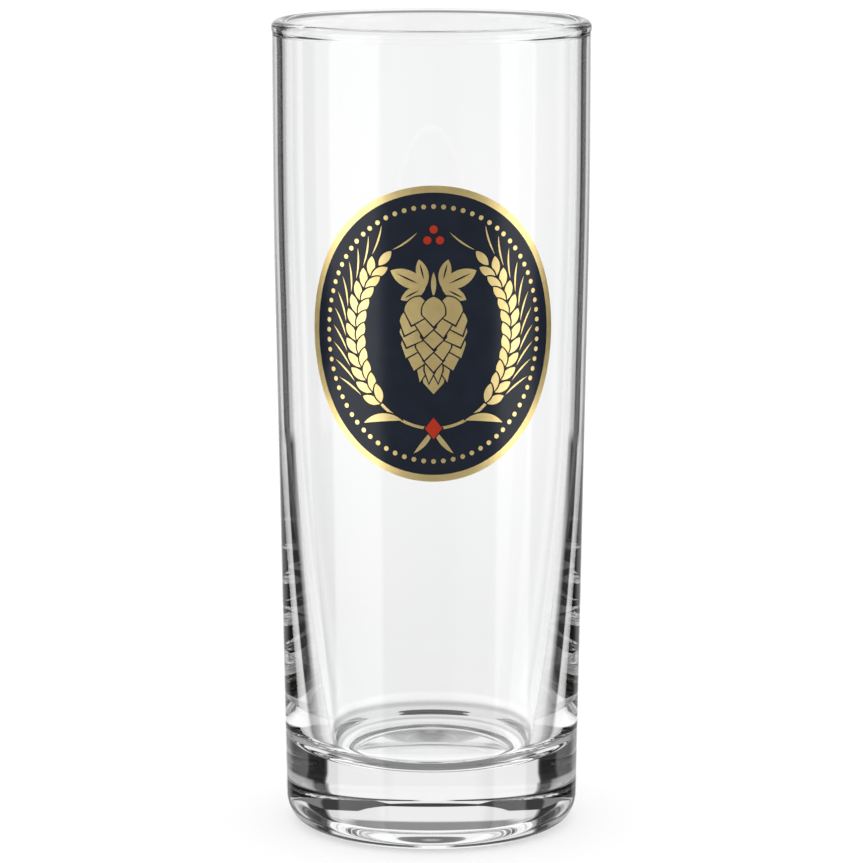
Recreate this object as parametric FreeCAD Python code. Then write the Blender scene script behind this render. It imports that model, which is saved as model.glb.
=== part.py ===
import FreeCAD, Part
import math
import os

# A tall straight beer glass (a stange) with a heavy base, standing on the table at Z = 0.
# The axis is Z, and the printed badge faces -Y. Lengths are in millimetres, angles in degrees.

# The outside of the glass
total_height = 145.0
upper_radius = 28.17  # upright upper wall
foot_radius = 26.24  # tapered lower wall, carried down to the table
knee_height = 112.0  # where the taper would meet the upright wall
knee_blend = 14.0  # soft bend, measured each way from the knee
heel_width = 4.7  # the round from the wall to the resting ring, as wide and as high as this
heel_height = 5.3
heel_fullness = 0.65  # handles of its curve, as shares of its width and height; 0.55 is an ellipse

# The rim, a fire-polished bead a little fuller than the wall below it
bead_radius = 1.35
bead_proud = 0.2
bead_hollow = 3.0  # hollow round between the bead and the wall

# The inside
bore_radius = 25.92  # upright upper wall
waist_height = 75.0  # the inside curves in below this
waist_radius = 24.85
belly_radius = 440.0  # the long curve below the waist
floor_thickness = 13.0
floor_round = 5.0

# The underside: a flat resting ring, then a cove up to a shallow domed hollow in the middle
ring_width = 1.3
cove_width = 4.9
cove_height = 2.75
cove_ease = 0.3  # handles of the cove's curve, as a share of its width
punt_depth = 0.7  # of the dome alone, over the cove's top

# The fired print: enamel on the glass, and a second firing on top of the first
ink = 0.08
badge_height = 92.9  # centre of the badge above the table
badge_half_width = 23.2  # along the curve of the wall
badge_half_height = 25.8
border_width = 1.2
hair = 0.3  # bare line between neighbouring strokes of a motif
skin_margin = 3.0  # the skin that the enamel is cut from runs past the badge by this

# The ring of pearls inside the border
pearl_inset = 2.4  # from the inner edge of the border
pearl_radius = 0.42
pearl_pitch = 1.75

# The two ears of barley, each bent round an oval about the centre
spine_half_width = 13.9
spine_half_height = 16.4
ear_start = -48.0  # angles about the centre, from the right-hand side
ear_end = 42.0
stem_width = 0.5
tail_length = 5.6
tail_width = 0.9
tail_angle = -52.0
tail_bow = -0.3
blade_place = -67.0  # where the long leaf leaves the stem
blade_length = 7.0
blade_width = 1.4
blade_angle = -6.0
blade_bow = 0.8
grain_length = 3.4
grain_width = 1.5
grain_pitch = 2.35
grain_lean = 27.0
awn_length = 5.4
awn_width = 0.32
awn_lean = 13.0
awn_bow = 0.25

# The hanging hop cone in the middle, with two leaves over it
cone_top = 6.6
cone_length = 17.0
cone_half_width = 5.4
cone_rows = 7
bract_overlap = 2.6  # length of a bract in row pitches
bract_spread = 30.0  # lean of the outermost bracts
bract_fullness = 1.3  # how far neighbours in a row overlap
bract_widest = 0.75  # of the cone's half width
bract_shoulder = 0.62  # place of a bract's widest point, as a share of its length
bract_belly = (0.24, 0.86)  # a point of its round side, as shares of the length and of the half width
bract_pull = 0.8  # rows keep this much of their spread, so that the outer bracts hug the cone
tip_clearance = 1.5  # the bare line is wider by this factor at a point
cone_swell = (0.3, 0.66)  # start and length of the cone's outline, in half turns of a sine
cone_tip = 0.25  # least width of a row, as a share of the cone's
leaf_length = 6.7
leaf_width = 3.0
leaf_angle = 24.0
lobe_length = 4.9
lobe_width = 2.1
lobe_spread = 52.0
leaf_gap = 0.9  # from the stalk to the foot of a leaf
vein_start = 1.3  # bare vein, from the foot of the leaf
vein_share = 0.8  # of what is left of each lobe
stalk_length = 3.4
stalk_width = 0.9

# Small red accents
tie_half_width = 1.5
tie_half_height = 1.9
berry_radius = 0.7
berry_spread = 1.25
berry_height = 17.0

front = FreeCAD.Vector(0, 1, 0)
axis = FreeCAD.Vector(0, 0, 1)
taper = math.atan2(upper_radius - foot_radius, knee_height)
inner_taper = math.atan2(bore_radius - waist_radius, knee_height - waist_height)
smallest_stroke = 0.02  # area below which a clipped stroke is left out


def at(radius, height):
    return FreeCAD.Vector(radius, 0, height)


def line(start, end):
    return Part.LineSegment(start, end).toShape()


def arc_about(centre, radius, first, last):
    """An arc in the XZ plane from one angle to another, in radians from +X towards +Z."""
    points = []
    for angle in (first, (first + last) / 2, last):
        points.append(centre + at(radius * math.cos(angle), radius * math.sin(angle)))
    return Part.Arc(*points).toShape()


def first_point(edge):
    return edge.valueAt(edge.FirstParameter)


def last_point(edge):
    return edge.valueAt(edge.LastParameter)


def revolved(profile):
    """The solid turned about the axis from a closed profile, its edges given in any order."""
    face = Part.Face(Part.Wire(Part.__sortEdges__(profile)))
    return face.revolve(FreeCAD.Vector(), axis, 360)


def knee(radius, angle, offset=0.0):
    """The bend between a tapered wall and the upright wall over it, from the bottom up, moved outward."""
    bend = knee_blend / math.tan(angle / 2)
    centre = at(radius - bend, knee_height + knee_blend)
    return arc_about(centre, bend + offset, -angle, 0.0)


def outer_wall(offset, low, high):
    """The outside of the glass between two heights, moved outward by an offset, from the bottom up."""
    bend = knee(upper_radius, taper, offset)
    start = first_point(bend)
    drop = start.z - low
    foot = at(start.x - drop * math.tan(taper), low)
    return [line(foot, start), bend, line(last_point(bend), at(upper_radius + offset, high))]


def wall_radius(height):
    """The outside radius of the tapered wall at a height."""
    return foot_radius + height * math.tan(taper)


def rim():
    """The bead over the top of the wall with the hollow rounds that lead into it, from outside to inside."""
    middle = at(upper_radius + bead_proud - bead_radius, total_height - bead_radius)
    reach = bead_radius + bead_hollow
    out = upper_radius + bead_hollow - middle.x
    outer_angle = -math.acos(out / reach)
    outer_hollow = middle + at(out, reach * math.sin(outer_angle))
    inward = middle.x - (bore_radius - bead_hollow)
    inner_angle = math.pi + math.acos(inward / reach)
    inner_hollow = middle + at(-inward, reach * math.sin(inner_angle))
    return [
        arc_about(outer_hollow, bead_hollow, math.pi, math.pi + outer_angle),
        arc_about(middle, bead_radius, outer_angle, inner_angle),
        arc_about(inner_hollow, bead_hollow, inner_angle - math.pi, 0.0),
    ]


def cavity():
    """The inside, from the edge of the flat floor up to the upright wall."""
    belly_middle = at(waist_radius - belly_radius * math.cos(inner_taper),
                      waist_height + belly_radius * math.sin(inner_taper))
    corner_height = floor_thickness + floor_round
    drop = corner_height - belly_middle.z
    span = belly_radius - floor_round
    corner = at(belly_middle.x + math.sqrt(span ** 2 - drop ** 2), corner_height)
    turn = math.asin(drop / span)
    return [
        arc_about(corner, floor_round, -math.pi / 2, turn),
        arc_about(belly_middle, belly_radius, turn, -inner_taper),
        knee(bore_radius, inner_taper),
    ]


def bezier(*poles):
    curve = Part.BezierCurve()
    curve.setPoles(list(poles))
    return curve.toShape()


def underside():
    """The domed hollow, the cove round it, the resting ring and the rounded heel, from the axis outward."""
    ring_outside = foot_radius - heel_width
    ring_inside = ring_outside - ring_width
    hollow = ring_inside - cove_width
    dome_radius = (hollow ** 2 + punt_depth ** 2) / (2 * punt_depth)
    half_angle = math.asin(hollow / dome_radius)
    upright = math.pi / 2
    dome_middle = at(0, cove_height + punt_depth - dome_radius)
    dome = arc_about(dome_middle, dome_radius, upright, upright - half_angle)
    lead = cove_ease * cove_width
    cove = bezier(at(hollow, cove_height), at(hollow + lead, cove_height - lead * math.tan(half_angle)),
                  at(ring_inside - lead, 0), at(ring_inside, 0))
    ring = line(at(ring_inside, 0), at(ring_outside, 0))
    pull = heel_height * (1 - heel_fullness)
    heel = bezier(at(ring_outside, 0), at(ring_outside + heel_fullness * heel_width, 0),
                  at(wall_radius(pull), pull), at(wall_radius(heel_height), heel_height))
    return [dome, cove, ring, heel]


def glass_body():
    """The one piece of glass, a profile turned about the axis."""
    base = underside()
    lip = rim()
    inside = cavity()
    wall = outer_wall(0.0, heel_height, first_point(lip[0]).z)
    profile = base + wall + lip + inside
    profile.append(line(last_point(lip[-1]), last_point(inside[-1])))
    profile.append(line(last_point(inside[1]), first_point(inside[2])))
    profile.append(line(at(0, floor_thickness), first_point(inside[0])))
    profile.append(line(at(0, floor_thickness), first_point(base[0])))
    return revolved(profile)


def wall_layer(low, high):
    """A thin skin round the outside of the glass, between two distances from it."""
    bottom = min(knee_height - knee_blend, badge_height - badge_half_height) - skin_margin
    top = max(knee_height + knee_blend, badge_height + badge_half_height) + skin_margin
    inner = outer_wall(low, bottom, top)
    outer = outer_wall(high, bottom, top)
    ends = [line(first_point(inner[0]), first_point(outer[0]))]
    ends.append(line(last_point(inner[-1]), last_point(outer[-1])))
    return revolved(inner + outer + ends)


badge_radius = wall_radius(badge_height)
far = 2 * upper_radius  # the badge is drawn square on, this far in front of the axis


def drawn(u, v):
    """A point of the badge, u round the wall to the right and v up, drawn square on in front of the glass."""
    return FreeCAD.Vector(badge_radius * math.sin(u / badge_radius), -far, badge_height + v)


def heading(angle):
    return math.cos(math.radians(angle)), math.sin(math.radians(angle))


def outline_face(edges):
    return Part.Face(Part.Wire(edges))


def closed_curve(points):
    curve = Part.BSplineCurve()
    curve.interpolate(Points=[drawn(u, v) for u, v in points], PeriodicFlag=True)
    return outline_face([curve.toShape()])


def oval(half_width, half_height, steps=40):
    turns = [2 * math.pi * step / steps for step in range(steps)]
    return closed_curve([(half_width * math.cos(turn), half_height * math.sin(turn)) for turn in turns])


def disc(u, v, radius):
    turns = [math.pi * step / 4 for step in range(8)]
    return closed_curve([(u + radius * math.cos(turn), v + radius * math.sin(turn)) for turn in turns])


def blade(u, v, angle, length, width, bow=0.0, grow=0.0):
    """A leaf-shaped stroke from a foot point, pointed at both ends; bow bends it to the left."""
    along, across = heading(angle), heading(angle + 90)
    start = (u - grow * along[0], v - grow * along[1])
    end = (u + (length + grow) * along[0], v + (length + grow) * along[1])
    middle = (u + length / 2 * along[0], v + length / 2 * along[1])
    sides = []
    for reach in (bow + width / 2 + grow, bow - width / 2 - grow):
        sides.append(drawn(middle[0] + reach * across[0], middle[1] + reach * across[1]))
    edges = [Part.Arc(drawn(*start), sides[0], drawn(*end)).toShape()]
    edges.append(Part.Arc(drawn(*end), sides[1], drawn(*start)).toShape())
    return outline_face(edges)


def bract(u, v, angle, length, width, grow=0.0):
    """A scale of the cone from its hidden foot: round shoulders, then straight sides to a point."""
    along, across = heading(angle), heading(angle + 90)

    def place(forward, sideways):
        step = [forward * along[number] + sideways * across[number] for number in (0, 1)]
        return drawn(u + step[0], v + step[1])

    foot, tip = place(-grow, 0), place(length + tip_clearance * grow, 0)
    half = width / 2 + grow
    left, right = place(bract_shoulder * length, half), place(bract_shoulder * length, -half)
    belly = bract_belly[0] * length, bract_belly[1] * half
    edges = [Part.Arc(foot, place(*belly), left).toShape(), line(left, tip), line(tip, right)]
    edges.append(Part.Arc(right, place(belly[0], -belly[1]), foot).toShape())
    return outline_face(edges)


def mirrored(faces):
    """The same strokes on the other side of the badge's middle line."""
    return [face.mirror(FreeCAD.Vector(), FreeCAD.Vector(1, 0, 0)) for face in faces]


def clipped(faces, cover):
    """What is left of each stroke outside the cover, without specks."""
    left = []
    for face in faces:
        for part in (face.cut(cover).Faces if cover else [face]):
            if part.Area > smallest_stroke:
                left.append(part)
    return left


def enamel(faces, layer):
    """Strokes drawn square on, laid on the wall as one firing of enamel."""
    deposits = []
    for face in faces:
        deposits += face.extrude(front * far).common(layer).Solids
    return Part.Compound(deposits)


def badge_border():
    inner = oval(badge_half_width - border_width, badge_half_height - border_width)
    return [oval(badge_half_width, badge_half_height).cut(inner)]


def badge_field():
    return [oval(badge_half_width - border_width, badge_half_height - border_width)]


def pearl_ring():
    """Pearls along an oval inside the border, evenly spaced along the curve."""
    half_width = badge_half_width - border_width - pearl_inset
    half_height = badge_half_height - border_width - pearl_inset
    steps = 720
    route = []
    length = 0.0
    for step in range(steps + 1):
        turn = 2 * math.pi * step / steps
        point = (half_width * math.sin(turn), half_height * math.cos(turn))
        if route:
            length += math.dist(point, route[-1][1])
        route.append((length, point))
    count = 2 * round(length / pearl_pitch / 2)
    pearls = []
    for number in range(count):
        wanted = length * number / count
        nearest = min(route, key=lambda entry: abs(entry[0] - wanted))
        pearls.append(disc(*nearest[1], pearl_radius))
    return pearls


def spine_point(angle):
    along = heading(angle)
    return spine_half_width * along[0], spine_half_height * along[1]


def spine_heading(angle):
    along = heading(angle)
    return math.degrees(math.atan2(spine_half_height * along[0], -spine_half_width * along[1]))


def spine_angles(start, end, pitch):
    """Angles from start to end whose points on the spine are one pitch apart."""
    angles = [start]
    angle = start
    step = 0.25
    while angle < end:
        here = spine_point(angles[-1])
        while math.dist(spine_point(angle), here) < pitch:
            angle += step
        angles.append(angle)
    return angles


def barley_grains():
    """Where each grain of the right-hand ear lies, in pairs from the stem up, with one at the tip."""
    angles = spine_angles(ear_start, ear_end, grain_pitch)
    grains = []
    for angle in angles[:-1]:
        point, ahead = spine_point(angle), spine_heading(angle)
        for side in (1, -1):
            across = heading(ahead + 90)
            reach = side * hair / 2
            foot = (point[0] + reach * across[0], point[1] + reach * across[1])
            grains.append((*foot, ahead + side * grain_lean))
    tip = angles[-1]
    return grains + [(*spine_point(tip), spine_heading(tip))]


def barley_ear():
    """The right-hand ear; each grain covers the foot of those above it."""
    shown, free = [], []
    for grain in barley_grains():
        cover = Part.Compound(free) if free else None
        shown += clipped([blade(*grain, grain_length, grain_width)], cover)
        free.append(blade(*grain, grain_length, grain_width, grow=hair))
    return shown, free


def tie_face(grow=0.0):
    """The lozenge over the crossing of the two stems."""
    half_width, half_height = tie_half_width + grow, tie_half_height + grow
    middle = spine_point(-90)[1]
    corners = [(half_width, 0), (0, half_height), (-half_width, 0), (0, -half_height)]
    points = [drawn(u, middle + v) for u, v in corners]
    return outline_face([line(a, b) for a, b in zip(points, points[1:] + points[:1])])


def barley_stem():
    """The right-hand ear's stem from the tie to the first grains, its tail under the tie, and a long leaf."""
    sides = []
    for side in (1, -1):
        points = []
        for angle in spine_angles(-90, ear_start, 2 * grain_pitch)[:-1] + [ear_start]:
            point, across = spine_point(angle), heading(spine_heading(angle) + 90)
            reach = side * stem_width / 2
            points.append(drawn(point[0] + reach * across[0], point[1] + reach * across[1]))
        curve = Part.BSplineCurve()
        curve.interpolate(Points=points)
        sides.append((curve.toShape(), points))
    (left, left_points), (right, right_points) = sides
    stem = outline_face([left, line(left_points[-1], right_points[-1]), right,
                         line(right_points[0], left_points[0])])
    tail = blade(0, spine_point(-90)[1], tail_angle, tail_length, tail_width, bow=tail_bow)
    leaf_place = (*spine_point(blade_place), blade_angle, blade_length, blade_width, blade_bow)
    bare_stem = clipped([stem], blade(*leaf_place, grow=hair))
    cover = Part.Compound([tie_face(hair)] + barley_ear()[1])
    return clipped(bare_stem + [tail, blade(*leaf_place)], cover)


def barley_awns():
    """The fine beard of the right-hand ear, a bristle from each outer grain and from the tip."""
    free = barley_ear()[1]
    awns = []
    for u, v, angle in barley_grains()[1::2] + barley_grains()[-1:]:
        along = heading(angle)
        reach = grain_length + hair
        foot = (u + reach * along[0], v + reach * along[1])
        awns.append(blade(*foot, angle + awn_lean, awn_length, awn_width, bow=awn_bow))
    return clipped(awns, Part.Compound(free))


def hop_bracts():
    """Each bract as it shows, and the outline that it keeps free of what lies behind it."""
    pitch = cone_length / (cone_rows + bract_overlap - 1)
    length = bract_overlap * pitch
    shown, free = [], []
    for row in range(cone_rows):
        share = row / (cone_rows - 1)
        swell = math.sin(math.pi * (cone_swell[0] + cone_swell[1] * share))
        half_width = cone_half_width * max(swell, cone_tip)
        count = 1 if row == cone_rows - 1 else 3 + row % 2
        width = min(2 * bract_fullness * half_width / count, bract_widest * cone_half_width)
        covers = []
        for number in sorted(range(count), key=lambda place: abs(place - (count - 1) / 2)):
            across = 2 * half_width / count * (number - (count - 1) / 2)
            lean = bract_spread * across / cone_half_width
            scale = (bract_pull * across, cone_top - row * pitch, lean - 90)
            cover = Part.Compound(free + covers) if free or covers else None
            shown += clipped([bract(*scale, length, width)], cover)
            covers.append(bract(*scale, length, width, grow=hair))
        free += covers
    return shown, free


def hop_leaf():
    """The right-hand leaf, three lobes with a bare vein down each."""
    foot = (stalk_width / 2 + leaf_gap, cone_top + stalk_length / 2)
    lobes = [(leaf_angle, leaf_length, leaf_width)]
    for side in (1, -1):
        lobes.append((leaf_angle + side * lobe_spread, lobe_length, lobe_width))
    faces = [blade(*foot, angle, length, width) for angle, length, width in lobes]
    leaf = faces[0].fuse(faces[1:]).removeSplitter()
    veins = []
    for angle, length, width in lobes:
        along = heading(angle)
        start = (foot[0] + vein_start * along[0], foot[1] + vein_start * along[1])
        veins.append(blade(*start, angle, vein_share * (length - vein_start), hair))
    return leaf.cut(Part.Compound(veins)).Faces


def hop_leaves():
    """Both leaves and the stalk that the cone hangs from, clear of the cone."""
    leaf = hop_leaf()
    stalk = blade(0, cone_top, 90, stalk_length + leaf_gap, stalk_width)
    cover = Part.Compound(hop_bracts()[1])
    return clipped(leaf + mirrored(leaf) + [stalk], cover)


def berry_trio():
    berries = []
    for angle in (-30, 90, 210):
        along = heading(angle)
        berries.append(disc(berry_spread * along[0], berry_height + berry_spread * along[1], berry_radius))
    return berries


def main():
    os.makedirs("parts", exist_ok=True)
    ear, stem, awns = barley_ear()[0], barley_stem(), barley_awns()
    prints = {
        "badge_field": (badge_field(), 0.0),
        "badge_border": (badge_border(), 0.0),
        "pearl_ring": (pearl_ring(), ink),
        "barley_ear_right": (ear, ink),
        "barley_ear_left": (mirrored(ear), ink),
        "barley_stem_right": (stem, ink),
        "barley_stem_left": (mirrored(stem), ink),
        "barley_awns_right": (awns, ink),
        "barley_awns_left": (mirrored(awns), ink),
        "hop_cone": (hop_bracts()[0], ink),
        "hop_leaves": (hop_leaves(), ink),
        "wreath_tie": ([tie_face()], ink),
        "berry_trio": (berry_trio(), ink),
    }
    layers = {0.0: wall_layer(0.0, ink), ink: wall_layer(ink, 2 * ink)}
    glass = glass_body()
    glass.exportStep("parts/glass_body.step")
    print("glass_body", round(glass.Volume, 1), glass.isValid())
    for name, (faces, low) in prints.items():
        shape = enamel(faces, layers[low])
        shape.exportStep("parts/" + name + ".step")
        print(name, len(shape.Solids), round(shape.Volume, 3), shape.isValid())


main()
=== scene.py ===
import math

import bpy
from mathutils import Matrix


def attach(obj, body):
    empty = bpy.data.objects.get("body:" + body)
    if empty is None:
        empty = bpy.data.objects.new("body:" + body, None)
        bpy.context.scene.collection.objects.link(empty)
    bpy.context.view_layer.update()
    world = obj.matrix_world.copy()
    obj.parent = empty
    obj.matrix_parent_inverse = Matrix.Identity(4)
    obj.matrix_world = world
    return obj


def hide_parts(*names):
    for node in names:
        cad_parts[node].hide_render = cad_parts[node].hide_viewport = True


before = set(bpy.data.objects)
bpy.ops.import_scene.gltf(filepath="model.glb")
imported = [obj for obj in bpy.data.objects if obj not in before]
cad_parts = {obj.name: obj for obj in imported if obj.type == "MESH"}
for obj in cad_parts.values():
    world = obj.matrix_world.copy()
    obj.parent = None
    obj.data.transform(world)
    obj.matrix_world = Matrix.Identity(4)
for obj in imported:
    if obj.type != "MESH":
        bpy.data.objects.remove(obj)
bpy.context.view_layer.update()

MM = 0.001
ON_AXIS = 1e-6  # millimetres; a profile point nearer than this lies on the axis

# The glass's profile, the same sizes as the CAD source, in millimetres
total_height = 145.0
upper_radius = 28.17
foot_radius = 26.24
knee_height = 112.0
knee_blend = 14.0
heel_width = 4.7
heel_height = 5.3
heel_fullness = 0.65
bead_radius = 1.35
bead_proud = 0.2
bead_hollow = 3.0
bore_radius = 25.92
waist_height = 75.0
waist_radius = 24.85
belly_radius = 440.0
floor_thickness = 13.0
floor_round = 5.0
ring_width = 1.3
cove_width = 4.9
cove_height = 2.75
cove_ease = 0.3
punt_depth = 0.7
taper = math.atan2(upper_radius - foot_radius, knee_height)
inner_taper = math.atan2(bore_radius - waist_radius, knee_height - waist_height)

# Segments of the turning, and steps of each stretch of the profile
SEGMENTS = 256
ROUND_STEPS = 20
HEEL_STEPS = 24
KNEE_STEPS = 12
BELLY_STEPS = 50
HOLLOW_STEPS = 5
RING_STEPS = 3
WALL_STEPS = 70
LIP_STEPS = 8
WAIST_STEPS = 16
FLOOR_STEPS = 14


def arc(cx, cz, radius, first, last, steps):
    """Points along an arc in the profile's plane, both ends included."""
    out = []
    for step in range(steps + 1):
        angle = first + (last - first) * step / steps
        out.append((cx + radius * math.cos(angle), cz + radius * math.sin(angle)))
    return out


def run(start, end, steps):
    """Points along a straight run, both ends left out."""
    out = []
    for step in range(1, steps):
        share = step / steps
        out.append((start[0] + (end[0] - start[0]) * share, start[1] + (end[1] - start[1]) * share))
    return out


def curve(points, steps):
    """Points along a cubic Bezier curve, both ends included."""
    out = []
    for step in range(steps + 1):
        along = step / steps
        back = 1 - along
        weights = (back ** 3, 3 * back ** 2 * along, 3 * back * along ** 2, along ** 3)
        radius = sum(weight * point[0] for weight, point in zip(weights, points))
        height = sum(weight * point[1] for weight, point in zip(weights, points))
        out.append((radius, height))
    return out


def underside():
    """From the middle outward: the hollow, the cove round it, the resting ring and the rounded heel."""
    ring_outside = foot_radius - heel_width
    ring_inside = ring_outside - ring_width
    hollow = ring_inside - cove_width
    bend = (hollow ** 2 + punt_depth ** 2) / (2 * punt_depth)
    half = math.asin(hollow / bend)
    top = cove_height + punt_depth
    out = arc(0, top - bend, bend, math.pi / 2, math.pi / 2 - half, ROUND_STEPS)
    lead = cove_ease * cove_width
    out += curve([(hollow, cove_height), (hollow + lead, cove_height - lead * math.tan(half)),
                  (ring_inside - lead, 0), (ring_inside, 0)], ROUND_STEPS)[1:]
    out += run((ring_inside, 0), (ring_outside, 0), RING_STEPS)
    wall = (foot_radius + heel_height * math.tan(taper), heel_height)
    rise = heel_fullness * heel_height
    out += curve([(ring_outside, 0), (ring_outside + heel_fullness * heel_width, 0),
                  (wall[0] - rise * math.tan(taper), wall[1] - rise), wall], HEEL_STEPS)
    return out


def glass_profile():
    """The closed outline: underside from the middle out, up the outside, over the rim, down the inside."""
    bend = knee_blend / math.tan(taper / 2)
    outer_knee = arc(upper_radius - bend, knee_height + knee_blend, bend, -taper, 0, KNEE_STEPS)
    bead_x, bead_z = upper_radius + bead_proud - bead_radius, total_height - bead_radius
    reach = bead_radius + bead_hollow
    out = upper_radius + bead_hollow - bead_x
    outer_angle = -math.acos(out / reach)
    hollow_out = (bead_x + out, bead_z + reach * math.sin(outer_angle))
    inward = bead_x - (bore_radius - bead_hollow)
    inner_angle = math.pi + math.acos(inward / reach)
    hollow_in = (bead_x - inward, bead_z + reach * math.sin(inner_angle))
    lip = arc(*hollow_out, bead_hollow, math.pi, math.pi + outer_angle, HOLLOW_STEPS)
    lip += arc(bead_x, bead_z, bead_radius, outer_angle, inner_angle, ROUND_STEPS)[1:]
    lip += arc(*hollow_in, bead_hollow, inner_angle - math.pi, 0, HOLLOW_STEPS)[1:]
    belly_x = waist_radius - belly_radius * math.cos(inner_taper)
    belly_z = waist_height + belly_radius * math.sin(inner_taper)
    corner_z = floor_thickness + floor_round
    span = belly_radius - floor_round
    corner_x = belly_x + math.sqrt(span ** 2 - (corner_z - belly_z) ** 2)
    turn = math.asin((corner_z - belly_z) / span)
    corner = arc(corner_x, corner_z, floor_round, -math.pi / 2, turn, ROUND_STEPS)
    belly = arc(belly_x, belly_z, belly_radius, turn, -inner_taper, BELLY_STEPS)
    inner_bend = knee_blend / math.tan(inner_taper / 2)
    inner_knee_x = bore_radius - inner_bend
    inner_knee = arc(inner_knee_x, knee_height + knee_blend, inner_bend, -inner_taper, 0, KNEE_STEPS)
    points = underside()
    points += run(points[-1], outer_knee[0], WALL_STEPS) + outer_knee
    points += run(outer_knee[-1], lip[0], LIP_STEPS) + lip
    points += run(lip[-1], inner_knee[-1], LIP_STEPS) + inner_knee[::-1]
    points += run(inner_knee[0], belly[-1], WAIST_STEPS) + belly[::-1] + corner[-2::-1]
    points += run(corner[0], (0, floor_thickness), FLOOR_STEPS) + [(0, floor_thickness)]
    return points


def lathe(name, profile):
    """A closed mesh turned about the axis, smooth shaded."""
    verts, faces, rings = [], [], []
    for radius, height in profile:
        if radius < ON_AXIS:
            rings.append([len(verts)])
            verts.append((0, 0, height * MM))
            continue
        rings.append(list(range(len(verts), len(verts) + SEGMENTS)))
        for number in range(SEGMENTS):
            angle = 2 * math.pi * number / SEGMENTS
            verts.append((radius * MM * math.sin(angle), -radius * MM * math.cos(angle), height * MM))
    for lower, upper in zip(rings, rings[1:]):
        for number in range(SEGMENTS):
            after = (number + 1) % SEGMENTS
            if len(lower) == 1:
                faces.append((lower[0], upper[after], upper[number]))
            elif len(upper) == 1:
                faces.append((lower[number], lower[after], upper[0]))
            else:
                faces.append((lower[number], lower[after], upper[after], upper[number]))
    mesh = bpy.data.meshes.new(name)
    mesh.from_pydata(verts, [], faces)
    mesh.validate()
    mesh.shade_smooth()
    made = bpy.data.objects.new(name, mesh)
    bpy.context.scene.collection.objects.link(made)
    return made


WAVES = 45.0  # features per metre of each noise
CLOUDS = 260.0
GRAIN = 2600.0
WAVE_DEPTH = 0.00002  # metres
PEEL_DEPTH = 0.000008
NOISE_LOW, NOISE_HIGH = 0.3, 0.7  # nearly all of a noise's values lie between these
SMOOTHEST, ROUGHEST = 0.8, 1.25  # of the enamel's roughness


def material(name):
    """A material with its node tree and its shader."""
    made = bpy.data.materials.new(name)
    made.use_nodes = True
    return made, made.node_tree, made.node_tree.nodes["Principled BSDF"]


def unevenness(tree, scale, detail):
    """A noise over the object's own space, in features per metre."""
    place = tree.nodes.new("ShaderNodeTexCoord")
    noise = tree.nodes.new("ShaderNodeTexNoise")
    noise.inputs["Scale"].default_value = scale
    noise.inputs["Detail"].default_value = detail
    tree.links.new(place.outputs["Object"], noise.inputs["Vector"])
    return noise.outputs["Fac"]


def between(tree, share, low, high):
    """A colour between two, from the low to the high end of a noise."""
    ramp = tree.nodes.new("ShaderNodeValToRGB")
    for element, place, colour in zip(ramp.color_ramp.elements, (NOISE_LOW, NOISE_HIGH), (low, high)):
        element.position = place
        element.color = (*colour, 1)
    tree.links.new(share, ramp.inputs[0])
    return ramp.outputs[0]


def relief(tree, share, shader, depth):
    """Low bumps from a noise, depth in metres."""
    bump = tree.nodes.new("ShaderNodeBump")
    bump.inputs["Distance"].default_value = depth
    tree.links.new(share, bump.inputs["Height"])
    tree.links.new(bump.outputs[0], shader.inputs["Normal"])


def glass_material():
    """Clear glass with the slow waves of a blown wall and a hardly visible tint."""
    made, tree, shader = material("clear_glass")
    waves = unevenness(tree, WAVES, detail=0.0)
    tree.links.new(between(tree, waves, (0.985, 0.992, 0.99), (1, 1, 1)), shader.inputs["Base Color"])
    relief(tree, waves, shader, WAVE_DEPTH)
    shader.inputs["Transmission Weight"].default_value = 1.0
    shader.inputs["IOR"].default_value = 1.5
    shader.inputs["Roughness"].default_value = 0.0
    return made


def enamel_material(name, thin, thick, metallic, roughness, specular):
    """Fired enamel or gold: a fine grain, clouds where it lies thinner, and an orange-peel surface."""
    made, tree, shader = material(name)
    clouds = unevenness(tree, CLOUDS, detail=4.0)
    grain = unevenness(tree, GRAIN, detail=2.0)
    tree.links.new(between(tree, clouds, thin, thick), shader.inputs["Base Color"])
    spread = tree.nodes.new("ShaderNodeMapRange")
    tree.links.new(grain, spread.inputs["Value"])
    spread.inputs["From Min"].default_value = NOISE_LOW
    spread.inputs["From Max"].default_value = NOISE_HIGH
    spread.inputs["To Min"].default_value = roughness * SMOOTHEST
    spread.inputs["To Max"].default_value = roughness * ROUGHEST
    tree.links.new(spread.outputs["Result"], shader.inputs["Roughness"])
    relief(tree, grain, shader, PEEL_DEPTH)
    shader.inputs["Metallic"].default_value = metallic
    shader.inputs["Specular IOR Level"].default_value = specular
    return made


def math_node(tree, operation, *values, clamp=False):
    """The result of a math node, whose values are numbers or other nodes' results."""
    node = tree.nodes.new("ShaderNodeMath")
    node.operation = operation
    node.use_clamp = clamp
    for number, value in enumerate(values):
        if isinstance(value, (int, float)):
            node.inputs[number].default_value = value
        else:
            tree.links.new(value, node.inputs[number])
    return node.outputs[0]


def mix(tree, share, a, b):
    """a where share is 0, b where it is 1."""
    node = tree.nodes.new("ShaderNodeMix")
    for value, socket in ((share, node.inputs[0]), (a, node.inputs[2]), (b, node.inputs[3])):
        if isinstance(value, (int, float)):
            socket.default_value = value
        else:
            tree.links.new(value, socket)
    return node.outputs[0]


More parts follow.
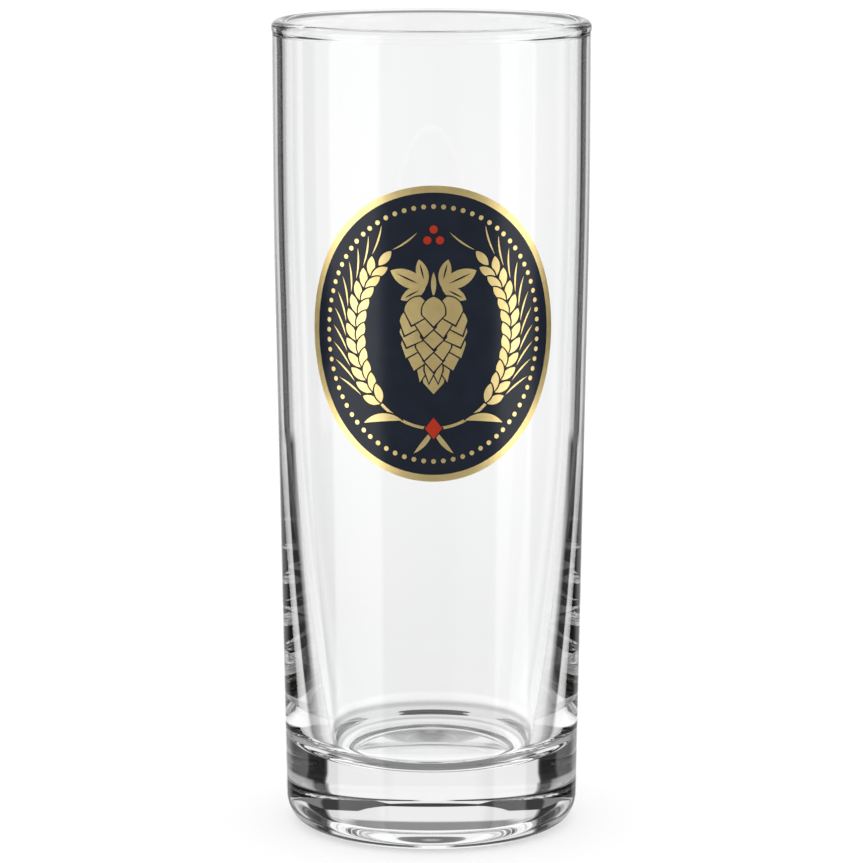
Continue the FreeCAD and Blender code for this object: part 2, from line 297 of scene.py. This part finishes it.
# The studio. Its brightness depends on where a ray leaves for, and on how often it has met the glass before:
# once where the glass mirrors it, twice through the solid base or the rim, three times along the wall or by
# way of the underside, four times through the bore, and more often where the glass throws it about inside.
# Azimuths run from +Y towards -X and elevations up from the table, all in degrees. A level of 1 is white.
ROOM = 0.37  # the plain grey side of the studio, behind the main camera
STRIP = 2.1  # the two tall soft lights, as a reflection shows them
# Painted shadow: the glass's shadow on the table close in front of and under it
SHADED_TABLE_IN_FRONT = 0.24
FAR_END = 0.32  # of the table, as the rim shows it
OVER_BACKDROP = 0.05
DARK_BEHIND = 0.04  # what lies behind the far edge of the table
DARK_BESIDE = 0.22
FAR_SIDES = 0.15  # high up and far to the sides, by way of the underside
BORE_SIDES = 0.1  # above the table and far to the sides, through the bore
BORE_CONTACT_SHADOW = 0.1  # painted shadow: the glass's contact shadow on the table behind it, seen through the bore
GREY_RING = 0.35
INNER_GAP = 0.15
BRIGHTEST = 4.0  # the most that a polyline of levels holds
STEEPEST = 40.0  # the most degrees that a polyline of elevations holds
THROWN_ABOUT = 8.5  # meetings past which a ray counts as trapped


def both_sides(stops):
    """The polyline from the middle outward, on both sides of the middle."""
    return [(-azimuth, level) for azimuth, level in reversed(stops)] + stops


# Levels by azimuth, as polylines of (azimuth, level). Two upright black cards stand behind the glass with
# grey beyond them; the others serve the glass's other sides.
FRONT = both_sides([(10, 1.05), (14, 0.8), (18, 0.4), (28, 0.35), (32, 0.2), (36, 0.05), (99, 0.08)])
REFLECTED = [(-180, ROOM), (-132, ROOM), (-129, STRIP), (-102, STRIP)] + FRONT
REFLECTED += [(102, STRIP), (140, STRIP), (143, ROOM), (180, ROOM)]
RIGHT_CARD = [(-99.8, 1.0), (-99.4, 0.01), (-90, 0.01), (-89.6, 0.5)]
LEFT_CARD = [(124.8, 1.0), (125.2, 0.01), (134.6, 0.01), (135, 0.4), (163, 0.4)]
BASE_BEHIND = [(-180, 1.0), (-179.6, 0.01), (-170.4, 0.01), (-170, 1.0)] + RIGHT_CARD
BASE_BESIDE = [(89, 1.0)] + LEFT_CARD + [(163.4, 1.0)]
THROUGH_BASE = BASE_BEHIND + both_sides([(10, 0.91), (14, 0.84), (34.3, 0.8), (35.2, 0.01), (46, 0.01),
                                         (48, 0.12), (62, 0.1), (80, 0.4)]) + BASE_BESIDE
ACROSS_BASE = BASE_BEHIND + both_sides([(10, 0.96), (14, 0.88), (33, 0.84), (34, 0.03), (41, 0.05), (43, 0.3),
                                        (50, 0.48), (80, 0.6)]) + BASE_BESIDE
ABOVE_BASE = [(-180, 0.1), (-152, 0.1), (-150, 1.0)] + RIGHT_CARD
ABOVE_BASE += both_sides([(12, 0.91), (15, 0.79), (34.5, 0.76), (35.5, 0.02), (47, 0.03), (49, 0.95),
                          (62, 0.9)])
ABOVE_BASE += [(89, 1.0)] + LEFT_CARD + [(164, 0.1)]
# The dark gap between the white backdrop and the light overhead
OVERHEAD = both_sides([(13, 0.3), (23, 0.22), (28, 0.65), (38, 0.85)])
CARDS = both_sides([(5, 0.45), (11, 0.45), (14, 0.85), (20, 1.0), (22.3, 0.02), (33.5, 0.02), (36.5, 0.6),
                    (41, 0.65), (45, 1.0)])
LOW_CARDS = both_sides([(22, 1.0), (24, 0.75), (25.5, 0.03), (37.5, 0.03), (39, 0.12), (41, 0.3), (44, 0.5),
                        (46.5, 0.85), (49, 0.95)])
TABLE_CARDS = both_sides([(20, 0.95), (25, 0.65), (28, 0.3), (34, 0.4), (42, 0.55), (48, 0.85)])
BEHIND = [(-171, 0.02), (-159, 0.02), (-158, 0.3), (-129, 0.3), (-125, 0.6), (-112, 0.6), (-111, 0.02),
          (-99, 0.02), (-98, 0.8)]
ALONG_WALL = BEHIND + CARDS + [(66, 1.0), (67, 0.02), (81, 0.02), (82, 1.0), (104, 0.3)]
ALONG_LOWER_WALL = BEHIND + LOW_CARDS + [(66, 1.0), (67, 0.02)]
THROUGH_BORE = both_sides([(12, 1.0), (24, 1.12), (36, 1.35)])
INNER = both_sides([(5, 0.6), (11, 0.3), (14, 0.6), (20, 0.9), (22, 0.5), (24, 0.05), (33, 0.05), (37, 0.6),
                    (46, 1.0), (52, 0.6), (60, 0.25), (90, 0.15), (135, 0.2), (170, 0.05)])
INNER_UP = both_sides([(16, 0.95), (22, 0.75), (26, 0.6), (46, 0.5), (49, 0.04), (58, 0.04), (72, 0.12),
                       (77, 1.1), (110, 0.95), (130, 0.75), (150, 0.6), (165, 0.3)])
INNER_TOP = both_sides([(14, 0.6), (18, 0.5), (20, 0.1), (46, 0.1), (60, 0.5), (90, 0.4), (135, 0.35),
                        (160, 0.15)])
TRAPPED = both_sides([(14, 0.8), (22, 0.35), (30, 0.15), (37, 0.3), (45, 0.5), (62, 0.65), (77, 0.4),
                      (108, 0.2), (143, 0.4)])

# Levels by elevation where a ray leaves through the bore, down to the table behind the glass; the dip around
# -42 degrees is painted shade where the table nears the glass's foot
TABLE_BEHIND_WITH_SHADE = [(-90, 0.9), (-50, 0.85), (-46, 0.65), (-42, 0.6), (-39, 0.82), (-36, 0.98), (-30, 1.03),
                (-26, 0.97), (-20, 0.97), (-14, 1.02), (-11, 1.05)]

# Degrees by azimuth: how far up the dark behind the table's far edge reaches, and how far from straight below
# the painted contact shadow of the glass on the table behind it reaches
DARK_TOP = both_sides([(12, 9.4), (15, 11.2), (18, 13.5), (21, 17), (35, 18.8), (47, 15.5), (60, 15),
                       (75, 9.4)])
CONTACT_SHADOW_REACH = both_sides([(5, 32.7), (8, 31), (11, 28), (12.2, 24.5), (12.8, 0)])

# A grey ring on the table, which shows only beside the middle: how far below the horizon it would lie in the
# middle, how much further per degree to the side, and the soft edge of either half of its width
RING_BELOW = 47.4
RING_SLOPE = 0.45
RING_EDGE = (0.8, 1.8)
RING_FROM = (12.5, 11.5)


def polyline(tree, share, stops, low, high, most=BRIGHTEST):
    """The polyline's value at a place between low and high, of which share is the part already passed."""
    node = tree.nodes.new("ShaderNodeValToRGB")
    elements = node.color_ramp.elements
    elements.remove(elements[1])
    for number, (place, value) in enumerate(stops):
        place = (place - low) / (high - low)
        element = elements[0] if number == 0 else elements.new(place)
        element.position = place
        element.color = (value / most, value / most, value / most, 1)
    tree.links.new(share, node.inputs[0])
    return math_node(tree, "MULTIPLY", node.outputs[0], most)


def rising(tree, value, none, full):
    """A share that goes from 0 at one value to 1 at the other, which may be the smaller one."""
    node = tree.nodes.new("ShaderNodeMapRange")
    tree.links.new(value, node.inputs["Value"])
    node.inputs["From Min"].default_value = none
    node.inputs["From Max"].default_value = full
    return node.outputs["Result"]


class Studio:
    """The direction that a ray leaves in, and levels and shares that depend on it."""

    def __init__(self, tree):
        self.tree = tree
        place = tree.nodes.new("ShaderNodeTexCoord")
        split = tree.nodes.new("ShaderNodeSeparateXYZ")
        tree.links.new(place.outputs["Generated"], split.inputs[0])
        x, y, z = split.outputs
        azimuth = math_node(tree, "ARCTAN2", math_node(tree, "MULTIPLY", x, -1.0), y)
        self.turn = math_node(tree, "MULTIPLY_ADD", azimuth, 0.5 / math.pi, 0.5)
        self.off_middle = math_node(tree, "ABSOLUTE", math_node(tree, "DEGREES", azimuth))
        self.elevation = math_node(tree, "DEGREES", math_node(tree, "ARCSINE", z))
        self.height = math_node(tree, "MULTIPLY_ADD", self.elevation, 1 / 180, 0.5)

    def around(self, stops, most=BRIGHTEST):
        """A polyline's value at the azimuth."""
        return polyline(self.tree, self.turn, stops, -180, 180, most)

    def upward(self, none, full):
        """A share that goes from 0 at one elevation to 1 at the other."""
        return rising(self.tree, self.elevation, none, full)

    def beside(self, none, full):
        """A share that goes from 0 at one angle off the middle to 1 at the other."""
        return rising(self.tree, self.off_middle, none, full)

    def product(self, a, b):
        """The product of two values."""
        return math_node(self.tree, "MULTIPLY", a, b)

    def larger(self, a, b):
        """The larger of two values."""
        return math_node(self.tree, "MAXIMUM", a, b)

    def mix(self, share, a, b):
        """a where share is 0, b where it is 1."""
        return mix(self.tree, share, a, b)

    def off_band(self, bottom, top):
        """0 in a band of elevations, 1 outside it; bottom and top are its soft edges."""
        below = math_node(self.tree, "SUBTRACT", 1.0, self.upward(*bottom))
        return self.larger(below, self.upward(*top))

    def past(self, value, limit, sharpness):
        """0 up to a limit that changes with the azimuth, 1 over it."""
        over = math_node(self.tree, "SUBTRACT", value, limit)
        return math_node(self.tree, "MULTIPLY", over, sharpness, clamp=True)


def mirrored_by_glass(studio):
    """One meeting: the strips, the room behind the camera and the light overhead."""
    return studio.mix(studio.upward(30, 45), studio.around(REFLECTED), 1.0)


def through_base(studio):
    """Two meetings: the cards, and what the rim shows, the table's far end and the dark over the backdrop."""
    level = studio.mix(studio.upward(-7, -4), studio.around(THROUGH_BASE), studio.around(ACROSS_BASE))
    far_end = studio.larger(studio.off_band((-38, -33), (-20, -14)), studio.beside(22, 28))
    table = studio.mix(far_end, FAR_END, 1.0)
    level = studio.mix(studio.upward(-20, -16), table, level)
    over_backdrop = studio.product(studio.upward(12.5, 13), studio.beside(3, 6))
    return studio.mix(over_backdrop, level, OVER_BACKDROP)


def by_underside(studio):
    """Three meetings, upward: the backdrop, the dark at its foot and the gap under the light overhead."""
    gap = studio.off_band((24.5, 26), (44, 50))
    level = studio.product(studio.around(ABOVE_BASE), studio.mix(gap, studio.around(OVERHEAD), 1.0))
    far_sides = studio.product(studio.beside(47, 49), studio.upward(24, 32))
    level = studio.mix(far_sides, level, FAR_SIDES)
    dark = studio.mix(studio.beside(36, 38), DARK_BEHIND, DARK_BESIDE)
    over_dark = studio.past(studio.elevation, studio.around(DARK_TOP, STEEPEST), sharpness=3.0)
    return studio.mix(over_dark, dark, level)


def along_wall(studio):
    """Three meetings: the cards, the table behind, the table in front darkened by painted shadow, and upward
    what the underside mirrors.
    """
    cards = studio.around(ALONG_WALL)
    level = studio.mix(studio.upward(-13.5, -12.5), studio.around(ALONG_LOWER_WALL), cards)
    over_table = studio.larger(studio.upward(-31, -28), studio.beside(50, 55))
    level = studio.mix(over_table, studio.around(TABLE_CARDS), level)
    # Steep downward rays see the table in front in painted shadow
    level = studio.mix(studio.upward(-44, -38), SHADED_TABLE_IN_FRONT, level)
    return studio.mix(studio.upward(4, 6), level, by_underside(studio))


def through_bore(studio):
    """Four meetings: the table behind the glass, with the glass's contact shadow painted on it near its foot,
    and a grey ring on it.
    """
    behind = polyline(studio.tree, studio.height, TABLE_BEHIND_WITH_SHADE, -90, 90)
    level = studio.product(behind, studio.around(THROUGH_BORE))
    far_sides = studio.product(studio.upward(2, 5), studio.beside(55, 65))
    level = studio.mix(far_sides, level, BORE_SIDES)
    from_below = math_node(studio.tree, "ADD", studio.elevation, 90.0)
    # Painted shadow: the glass's contact shadow, dark straight below within a few degrees of the middle
    past_contact_shadow = studio.past(from_below, studio.around(CONTACT_SHADOW_REACH, STEEPEST), sharpness=1.0)
    level = studio.mix(past_contact_shadow, BORE_CONTACT_SHADOW, level)
    below = math_node(studio.tree, "MULTIPLY_ADD", studio.off_middle, RING_SLOPE, RING_BELOW)
    from_ring = math_node(studio.tree, "ABSOLUTE", math_node(studio.tree, "ADD", studio.elevation, below))
    off_ring = studio.larger(rising(studio.tree, from_ring, *RING_EDGE), studio.beside(*RING_FROM))
    return studio.mix(off_ring, GREY_RING, level)


def inside_glass(studio):
    """Five to eight meetings: what the glass throws about inside before it lets it out."""
    gap = studio.larger(studio.off_band((35, 37), (44, 47)), studio.beside(12, 22))
    upper = studio.product(studio.around(INNER_UP), studio.mix(gap, INNER_GAP, 1.0))
    upper = studio.mix(studio.upward(54, 57), upper, studio.around(INNER_TOP))
    # Steep downward rays see the table in front in painted shadow
    level = studio.mix(studio.upward(-42, -34), SHADED_TABLE_IN_FRONT, studio.around(INNER))
    return studio.mix(studio.upward(10, 13), level, upper)


def make_world():
    """The studio for mirrored and bent rays; the camera and matt surfaces see plain white."""
    world = bpy.data.worlds.new("studio")
    bpy.context.scene.world = world
    world.use_nodes = True
    tree = world.node_tree
    studio = Studio(tree)
    path = tree.nodes.new("ShaderNodeLightPath")
    # A ray that ends in the studio counts as one meeting further.
    meetings = math_node(tree, "SUBTRACT", path.outputs["Ray Depth"], 1.0)
    level = mirrored_by_glass(studio)
    for number, seen in enumerate((through_base, along_wall, through_bore, inside_glass), start=1):
        level = mix(tree, math_node(tree, "GREATER_THAN", meetings, number + 0.5), level, seen(studio))
    level = mix(tree, math_node(tree, "GREATER_THAN", meetings, THROWN_ABOUT), level, studio.around(TRAPPED))
    looked = math_node(tree, "MAXIMUM", path.outputs["Is Glossy Ray"], path.outputs["Is Transmission Ray"])
    level = mix(tree, looked, 1.0, level)
    background = tree.nodes["Background"]
    tree.links.new(level, background.inputs["Strength"])
    background.inputs["Color"].default_value = (1, 1, 1, 1)


FLOOR_REACH = 12.0  # metres
FLOOR_DROP = 0.00005  # keeps the floor off the resting ring
FLOOR_COLOUR = (0.6, 0.6, 0.6, 1)
FLOOR_GLOW = 0.51  # brings the floor up to white for the camera and leaves the glass's shadow


def make_floor():
    """A white table that the camera sees; rays from the glass see the studio's own table instead."""
    reach = FLOOR_REACH
    corners = [(-reach, -reach, 0), (reach, -reach, 0), (reach, reach, 0), (-reach, reach, 0)]
    mesh = bpy.data.meshes.new("floor")
    mesh.from_pydata(corners, [], [(0, 1, 2, 3)])
    floor = bpy.data.objects.new("floor", mesh)
    bpy.context.scene.collection.objects.link(floor)
    floor.location.z = -FLOOR_DROP
    made = bpy.data.materials.new("floor")
    made.use_nodes = True
    tree = made.node_tree
    tree.nodes.clear()
    out = tree.nodes.new("ShaderNodeOutputMaterial")
    diffuse = tree.nodes.new("ShaderNodeBsdfDiffuse")
    diffuse.inputs["Color"].default_value = FLOOR_COLOUR
    glow = tree.nodes.new("ShaderNodeEmission")
    path = tree.nodes.new("ShaderNodeLightPath")
    seen = path.outputs["Is Camera Ray"]
    tree.links.new(math_node(tree, "MULTIPLY", seen, FLOOR_GLOW), glow.inputs["Strength"])
    both = tree.nodes.new("ShaderNodeAddShader")
    tree.links.new(diffuse.outputs[0], both.inputs[0])
    tree.links.new(glow.outputs[0], both.inputs[1])
    tree.links.new(both.outputs[0], out.inputs["Surface"])
    mesh.materials.append(made)
    floor.visible_transmission = False
    floor.visible_glossy = False


SENSOR = 36  # millimetres, like the lens
LENS = 174.02
CAMERA_DISTANCE = 0.73725  # metres, from the glass's axis
CAMERA_HEIGHT = 0.20006
CAMERA_TURN = 0.736  # degrees round the axis, towards -X
CAMERA_TILT = 9.92  # degrees downward


def make_camera():
    """The main camera, as fitted to the photograph."""
    camera = bpy.data.cameras.new("camera")
    camera.sensor_width = SENSOR
    camera.lens = LENS
    camera.clip_start = 0.05
    camera.clip_end = 50
    holder = bpy.data.objects.new("camera", camera)
    bpy.context.scene.collection.objects.link(holder)
    turn = math.radians(CAMERA_TURN)
    holder.location = (-CAMERA_DISTANCE * math.sin(turn), -CAMERA_DISTANCE * math.cos(turn), CAMERA_HEIGHT)
    holder.rotation_euler = (math.radians(90 - CAMERA_TILT), 0, -turn)
    bpy.context.scene.camera = holder


def dress_glass():
    """The clear glass, turned finer than the solid that it replaces."""
    glass = lathe("glass", glass_profile())
    glass.data.materials.append(glass_material())
    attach(glass, "root")
    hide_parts("glass_body")


RED_NODES = ("wreath_tie", "berry_trio")


def dress_badge():
    """The solids of the print in their enamels; what is neither the field nor an accent is gold."""
    navy = enamel_material("navy_enamel", (0.0095, 0.0155, 0.03), (0.0068, 0.011, 0.0225),
                           metallic=0.0, roughness=0.2, specular=0.3)
    gold = enamel_material("gold_enamel", (0.86, 0.66, 0.28), (0.97, 0.77, 0.36),
                           metallic=1.0, roughness=0.35, specular=0.5)
    red = enamel_material("red_enamel", (0.54, 0.036, 0.01), (0.46, 0.026, 0.007),
                          metallic=0.0, roughness=0.2, specular=0.3)
    for name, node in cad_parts.items():
        if name == "glass_body":
            continue
        look = navy if name == "badge_field" else red if name in RED_NODES else gold
        node.data.materials.clear()
        node.data.materials.append(look)


bpy.context.scene.view_settings.view_transform = "Standard"
bpy.context.scene.cycles.max_bounces = 32
bpy.context.scene.cycles.transmission_bounces = 32
bpy.context.scene.cycles.glossy_bounces = 16
bpy.context.scene.cycles.transparent_max_bounces = 32

make_camera()
make_world()
make_floor()
dress_glass()
dress_badge()
